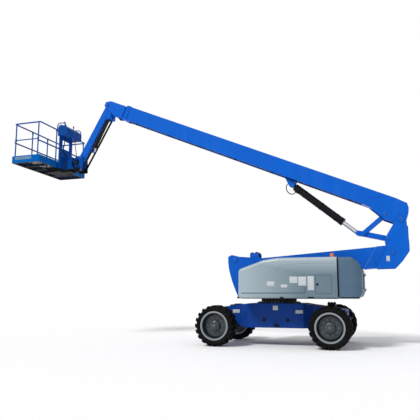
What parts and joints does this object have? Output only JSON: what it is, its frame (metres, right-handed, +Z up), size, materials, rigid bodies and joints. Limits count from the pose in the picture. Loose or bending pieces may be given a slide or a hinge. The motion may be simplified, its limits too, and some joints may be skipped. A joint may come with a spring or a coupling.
{
  "type": "articulating boom lift",
  "caption": "Four-wheel articulating boom lift with a slewing turntable, raised secondary and telescoping primary booms, a jib and a railed work platform.",
  "frame": {"origin": "on the ground under the middle of the machine's length and width, as parked with the booms raised", "axes": "+X towards the platform end, +Y to the machine's left, +Z up"},
  "size_m": [10.7766, 2.49, 6.9592],
  "materials": {
    "boom_blue": "gloss enamel",
    "tyre": "matt rubber",
    "wheel_grey": "satin enamel",
    "rod_chrome": "polished",
    "box_blue": "moulded, satin",
    "cover_grey": "satin enamel",
    "weight_grey": "satin enamel",
    "dark_metal": "matt",
    "amber": "clear amber",
    "black_metal": "satin",
    "floor_metal": "worn enamel"
  },
  "bodies": {
    "chassis": {"chassis_frame": "boom_blue", "slew_ring": "dark_metal", "front_axle": "boom_blue", "rear_axle": "boom_blue"},
    "front_left_knuckle": {"front_left_knuckle": "boom_blue"},
    "front_left_wheel": {"front_left_tyre": "tyre", "front_left_rim": "wheel_grey"},
    "front_right_knuckle": {"front_right_knuckle": "boom_blue"},
    "front_right_wheel": {"front_right_tyre": "tyre", "front_right_rim": "wheel_grey"},
    "front_tie_rod": {"front_tie_rod": "black_metal"},
    "rear_left_knuckle": {"rear_left_knuckle": "boom_blue"},
    "rear_left_wheel": {"rear_left_tyre": "tyre", "rear_left_rim": "wheel_grey"},
    "rear_right_knuckle": {"rear_right_knuckle": "boom_blue"},
    "rear_right_wheel": {"rear_right_tyre": "tyre", "rear_right_rim": "wheel_grey"},
    "rear_tie_rod": {"rear_tie_rod": "black_metal"},
    "turntable": {"turntable_frame": "boom_blue", "counterweight": "weight_grey", "engine_block": "dark_metal"},
    "left_cover": {"left_cover": "cover_grey", "beacon": "amber", "control_panel": "dark_metal"},
    "right_cover": {"right_cover": "cover_grey"},
    "secondary_boom": {"secondary_boom": "boom_blue"},
    "secondary_extension": {"secondary_extension": "boom_blue"},
    "secondary_barrel": {"secondary_barrel": "boom_blue"},
    "secondary_rod": {"secondary_rod": "rod_chrome"},
    "upper_pivot": {"upper_pivot": "boom_blue"},
    "primary_boom": {"primary_boom": "boom_blue"},
    "primary_extension": {"primary_extension": "boom_blue"},
    "lower_link": {"lower_link": "boom_blue"},
    "upper_link": {"upper_link": "boom_blue"},
    "lift_barrel": {"lift_barrel": "boom_blue"},
    "lift_rod": {"lift_rod": "rod_chrome"},
    "bellcrank": {"bellcrank": "boom_blue"},
    "jib": {"jib_boom": "boom_blue"},
    "jib_arms": {"jib_arms": "black_metal"},
    "jib_barrel": {"jib_barrel": "boom_blue"},
    "jib_rod": {"jib_rod": "rod_chrome"},
    "platform_mount": {"platform_mount": "boom_blue"},
    "platform": {"platform_support": "boom_blue", "platform_floor": "floor_metal", "platform_rails": "boom_blue", "control_box": "box_blue"},
    "gate": {"gate_bar": "boom_blue"},
    "control_door": {"control_door": "cover_grey"}
  },
  "joints": [
    {"name": "front_left_steer", "type": "hinge", "parent": "chassis", "child": "front_left_knuckle", "pos_m": [-0.7815, 0.7, 0.49], "axis": [0, 0, 1], "range_deg": [-30, 30]},
    {"name": "front_left_spin", "type": "hinge", "parent": "front_left_knuckle", "child": "front_left_wheel", "pos_m": [-0.7815, 1.035, 0.49], "axis": [0, 1, 0], "continuous": true},
    {"name": "front_right_steer", "type": "hinge", "parent": "chassis", "child": "front_right_knuckle", "pos_m": [-0.7815, -0.7, 0.49], "axis": [0, 0, 1], "range_deg": [-30, 30]},
    {"name": "front_right_spin", "type": "hinge", "parent": "front_right_knuckle", "child": "front_right_wheel", "pos_m": [-0.7815, -1.035, 0.49], "axis": [0, 1, 0], "continuous": true},
    {"name": "front_tie_rod_shift", "type": "slide", "parent": "chassis", "child": "front_tie_rod", "axis": [0, 1, 0], "range_m": [-0.1126, 0.1126]},
    {"name": "rear_left_steer", "type": "hinge", "parent": "chassis", "child": "rear_left_knuckle", "pos_m": [-3.5215, 0.7, 0.49], "axis": [0, 0, 1], "range_deg": [-30, 30]},
    {"name": "rear_left_spin", "type": "hinge", "parent": "rear_left_knuckle", "child": "rear_left_wheel", "pos_m": [-3.5215, 1.035, 0.49], "axis": [0, 1, 0], "continuous": true},
    {"name": "rear_right_steer", "type": "hinge", "parent": "chassis", "child": "rear_right_knuckle", "pos_m": [-3.5215, -0.7, 0.49], "axis": [0, 0, 1], "range_deg": [-30, 30]},
    {"name": "rear_right_spin", "type": "hinge", "parent": "rear_right_knuckle", "child": "rear_right_wheel", "pos_m": [-3.5215, -1.035, 0.49], "axis": [0, 1, 0], "continuous": true},
    {"name": "rear_tie_rod_shift", "type": "slide", "parent": "chassis", "child": "rear_tie_rod", "axis": [0, 1, 0], "range_m": [-0.1126, 0.1126]},
    {"name": "slew", "type": "hinge", "parent": "chassis", "child": "turntable", "pos_m": [-2.1515, 0, 1.13], "axis": [0, 0, 1], "continuous": true},
    {"name": "left_cover_hinge", "type": "hinge", "parent": "turntable", "child": "left_cover", "pos_m": [-2.1515, 0.425, 2.085], "axis": [1, 0, 0], "range_deg": [0, 70]},
    {"name": "right_cover_hinge", "type": "hinge", "parent": "turntable", "child": "right_cover", "pos_m": [-2.1515, -0.425, 2.085], "axis": [-1, 0, 0], "range_deg": [0, 70]},
    {"name": "secondary_lift", "type": "hinge", "parent": "turntable", "child": "secondary_boom", "pos_m": [-1.0715, 0, 2.13], "axis": [0, 1, 0], "range_deg": [-5.5, 61.5]},
    {"name": "secondary_extend", "type": "slide", "parent": "secondary_boom", "child": "secondary_extension", "axis": [-0.9971, 0, 0.0767], "range_m": [0, 2]},
    {"name": "secondary_barrel_pivot", "type": "hinge", "parent": "turntable", "child": "secondary_barrel", "pos_m": [-1.5515, 0, 1.33], "axis": [0, -1, 0], "range_deg": [-59.1, 5.81]},
    {"name": "secondary_rod_slide", "type": "slide", "parent": "secondary_barrel", "child": "secondary_rod", "axis": [-0.9834, 0, 0.1813], "range_m": [-0.08443, 0.92375]},
    {"name": "upper_pivot_level", "type": "hinge", "parent": "secondary_extension", "child": "upper_pivot", "pos_m": [-4.9715, 0, 2.25], "axis": [0, 1, 0], "range_deg": [-62.5, 6.5]},
    {"name": "primary_lift", "type": "hinge", "parent": "upper_pivot", "child": "primary_boom", "pos_m": [-5.2015, 0, 3.02], "axis": [0, -1, 0], "range_deg": [-22, 46.5]},
    {"name": "primary_extend", "type": "slide", "parent": "primary_boom", "child": "primary_extension", "axis": [0.9171, 0, 0.3987], "range_m": [0, 6.5]},
    {"name": "lower_link_pivot", "type": "hinge", "parent": "upper_pivot", "child": "lower_link", "pos_m": [-4.8615, 0, 2.588], "axis": [0, -1, 0], "range_deg": [-16.8, 34.88]},
    {"name": "upper_link_pivot", "type": "hinge", "parent": "primary_boom", "child": "upper_link", "pos_m": [-4.8305, 0, 3.168], "axis": [0, -1, 0], "range_deg": [-41.21, 19.8]},
    {"name": "lift_barrel_pivot", "type": "hinge", "parent": "primary_boom", "child": "lift_barrel", "pos_m": [-2.5685, 0, 4.078], "axis": [0, -1, 0], "range_deg": [-1.88, 3.34]},
    {"name": "lift_rod_slide", "type": "slide", "parent": "lift_barrel", "child": "lift_rod", "axis": [-0.7704, 0, -0.6376], "range_m": [-0.23177, 0.48765]},
    {"name": "bellcrank_level", "type": "hinge", "parent": "primary_extension", "child": "bellcrank", "pos_m": [2.8985, 0, 6.85], "axis": [0, -1, 0], "range_deg": [-47.5, 23]},
    {"name": "jib_lift", "type": "hinge", "parent": "bellcrank", "child": "jib", "pos_m": [2.8985, 0, 6.85], "axis": [0, -1, 0], "range_deg": [0, 135]},
    {"name": "jib_arms_pivot", "type": "hinge", "parent": "bellcrank", "child": "jib_arms", "pos_m": [2.8685, 0, 6.48], "axis": [0, -1, 0], "range_deg": [-1, 136]},
    {"name": "jib_barrel_pivot", "type": "hinge", "parent": "bellcrank", "child": "jib_barrel", "pos_m": [2.9465, 0, 6.458], "axis": [0, -1, 0], "range_deg": [-0.57, 137.63]},
    {"name": "jib_rod_slide", "type": "slide", "parent": "jib_barrel", "child": "jib_rod", "axis": [0.4527, 0, -0.8916], "range_m": [-0.002, 0.71808]},
    {"name": "platform_level", "type": "hinge", "parent": "jib", "child": "platform_mount", "pos_m": [3.7785, 0, 5.3], "axis": [0, -1, 0], "range_deg": [-136, 1]},
    {"name": "platform_rotate", "type": "hinge", "parent": "platform_mount", "child": "platform", "pos_m": [4.1785, 0, 5.3], "axis": [0, 0, 1], "range_deg": [-80, 80]},
    {"name": "gate_slide", "type": "slide", "parent": "platform", "child": "gate", "axis": [0, 0, 1], "range_m": [0, 0.4]},
    {"name": "control_door_hinge", "type": "hinge", "parent": "left_cover", "child": "control_door", "pos_m": [-3.5815, 1.173, 1.47], "axis": [0, 0, 1], "range_deg": [0, 110]}
  ],
  "couplings": [
    {"joint": "front_right_steer", "follows": "front_left_steer", "ratio": 1},
    {"joint": "front_tie_rod_shift", "follows": "front_left_steer", "m_per_rad": 0.21486},
    {"joint": "rear_right_steer", "follows": "rear_left_steer", "ratio": 1},
    {"joint": "rear_tie_rod_shift", "follows": "rear_left_steer", "m_per_rad": -0.21486},
    {"joint": "secondary_barrel_pivot", "follows": "secondary_lift", "ratio": -0.95163},
    {"joint": "secondary_rod_slide", "follows": "secondary_lift", "m_per_rad": 0.85874},
    {"joint": "upper_pivot_level", "follows": "secondary_lift", "ratio": -1},
    {"joint": "lower_link_pivot", "follows": "primary_lift", "ratio": 0.73769},
    {"joint": "upper_link_pivot", "follows": "primary_lift", "ratio": -0.874},
    {"joint": "lift_barrel_pivot", "follows": "primary_lift", "ratio": 0.059598},
    {"joint": "lift_rod_slide", "follows": "primary_lift", "m_per_rad": 0.5984},
    {"joint": "bellcrank_level", "follows": "primary_lift", "ratio": -1},
    {"joint": "jib_arms_pivot", "follows": "jib_lift", "ratio": 1},
    {"joint": "jib_barrel_pivot", "follows": "jib_lift", "ratio": 1.0152},
    {"joint": "jib_rod_slide", "follows": "jib_lift", "m_per_rad": 0.30392},
    {"joint": "platform_level", "follows": "jib_lift", "ratio": -1}
  ]
}
